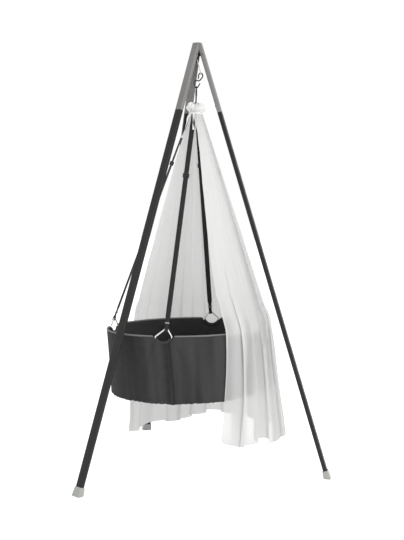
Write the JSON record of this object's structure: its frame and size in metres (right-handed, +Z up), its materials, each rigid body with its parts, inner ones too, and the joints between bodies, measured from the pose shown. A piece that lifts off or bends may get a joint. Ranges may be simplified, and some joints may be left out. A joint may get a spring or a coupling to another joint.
{
  "type": "hanging baby cradle",
  "caption": "Oval fabric cradle hung on webbing straps from a hook under a folding three-legged stand, with a gauze veil.",
  "frame": {"origin": "on the floor, under the middle of the whole object's outline", "axes": "+Z up; +X to the right and +Y away from the front, with the back leg along +Y and the two front legs 60 degrees to each side of -Y"},
  "size_m": [1.1092, 0.9618, 1.799],
  "materials": {
    "grey_paint": "satin warm mid-grey paint",
    "charcoal_paint": "satin charcoal paint",
    "foot_plastic": "matte light greenish-grey plastic",
    "dark_steel": "black finished steel",
    "bright_wire": "bright plated wire",
    "white_cord": "white braided cord",
    "black_cord": "dark grey braided cord",
    "webbing": "black woven webbing",
    "cradle_fabric": "dark grey melange woven fabric",
    "piping": "light grey bias piping",
    "board": "plain birch plywood",
    "mattress_cover": "off-white quilted cotton",
    "veil_gauze": "thin white translucent gauze"
  },
  "bodies": {
    "head": {"head_bracket": "dark_steel", "leg_hinge_pin_front_left": "dark_steel", "leg_hinge_pin_right": "dark_steel", "leg_hinge_pin_back": "dark_steel"},
    "leg_front_left": {"leg_upper_front_left": "grey_paint", "leg_lower_front_left": "charcoal_paint", "leg_screw_front_left": "dark_steel", "leg_foot_front_left": "foot_plastic"},
    "leg_right": {"leg_upper_right": "grey_paint", "leg_lower_right": "charcoal_paint", "leg_screw_right": "dark_steel", "leg_foot_right": "foot_plastic"},
    "leg_back": {"leg_upper_back": "grey_paint", "leg_lower_back": "charcoal_paint", "leg_screw_back": "dark_steel", "leg_foot_back": "foot_plastic"},
    "sling": {"hanging_sling": "white_cord"},
    "hook": {"hanging_hook": "dark_steel", "drop_cord": "black_cord"},
    "cradle": {"strap_yoke": "dark_steel", "strap_right": "webbing", "strap_keeper_right": "bright_wire", "rim_ring_right": "bright_wire", "ring_sleeve_right": "cradle_fabric", "strap_back": "webbing", "strap_keeper_back": "bright_wire", "rim_ring_back": "bright_wire", "ring_sleeve_back": "cradle_fabric", "strap_left": "webbing", "strap_keeper_left": "bright_wire", "rim_ring_left": "bright_wire", "ring_sleeve_left": "cradle_fabric", "strap_front": "webbing", "strap_keeper_front": "bright_wire", "rim_ring_front": "bright_wire", "ring_sleeve_front": "cradle_fabric", "cradle_body": "cradle_fabric", "rim_piping_foot": "piping", "rim_piping_back": "piping", "rim_piping_head": "piping", "rim_piping_front": "piping", "base_board": "board", "mattress": "mattress_cover", "veil": "veil_gauze", "veil_ruffle": "veil_gauze", "veil_ribbon_long": "veil_gauze", "veil_ribbon_short": "veil_gauze"},
    "buckle_right": {"strap_buckle_right": "dark_steel"},
    "buckle_back": {"strap_buckle_back": "dark_steel"},
    "buckle_left": {"strap_buckle_left": "dark_steel"},
    "buckle_front": {"strap_buckle_front": "dark_steel"}
  },
  "joints": [
    {"name": "leg_fold_front_left", "type": "hinge", "parent": "head", "child": "leg_front_left", "pos_m": [-0.01995, -0.16062, 1.75], "axis": [0.5, -0.866, 0], "range_deg": [0, 1]},
    {"name": "leg_fold_right", "type": "hinge", "parent": "head", "child": "leg_right", "pos_m": [0.01995, -0.16062, 1.75], "axis": [0.5, 0.866, 0], "range_deg": [0, 1.2]},
    {"name": "leg_fold_back", "type": "hinge", "parent": "head", "child": "leg_back", "pos_m": [0, -0.12607, 1.75], "axis": [-1, 0, 0], "range_deg": [0, 1.5]},
    {"name": "swing_left_right", "type": "hinge", "parent": "head", "child": "sling", "pos_m": [0, -0.1491, 1.7284], "axis": [0.314, 0.9494, 0], "range_deg": [-1.8, 1.8]},
    {"name": "swing_front_back", "type": "hinge", "parent": "sling", "child": "hook", "pos_m": [0.01519, -0.15413, 1.676], "axis": [0.9494, -0.314, 0], "range_deg": [-1.2, 2]},
    {"name": "cradle_turn", "type": "hinge", "parent": "hook", "child": "cradle", "pos_m": [0, -0.1491, 1.543], "axis": [0, 0, 1], "range_deg": [-9, 9]},
    {"name": "buckle_slide_right", "type": "slide", "parent": "cradle", "child": "buckle_right", "axis": [0.2853, -0.111, -0.952], "range_m": [-0.08, 0.14]},
    {"name": "buckle_slide_back", "type": "slide", "parent": "cradle", "child": "buckle_back", "axis": [0.1831, 0.2453, -0.952], "range_m": [-0.08, 0.14]},
    {"name": "buckle_slide_left", "type": "slide", "parent": "cradle", "child": "buckle_left", "axis": [-0.3115, 0.0808, -0.9468], "range_m": [-0.08, 0.14]},
    {"name": "buckle_slide_front", "type": "slide", "parent": "cradle", "child": "buckle_front", "axis": [-0.1767, -0.247, -0.9528], "range_m": [-0.08, 0.14]}
  ]
}
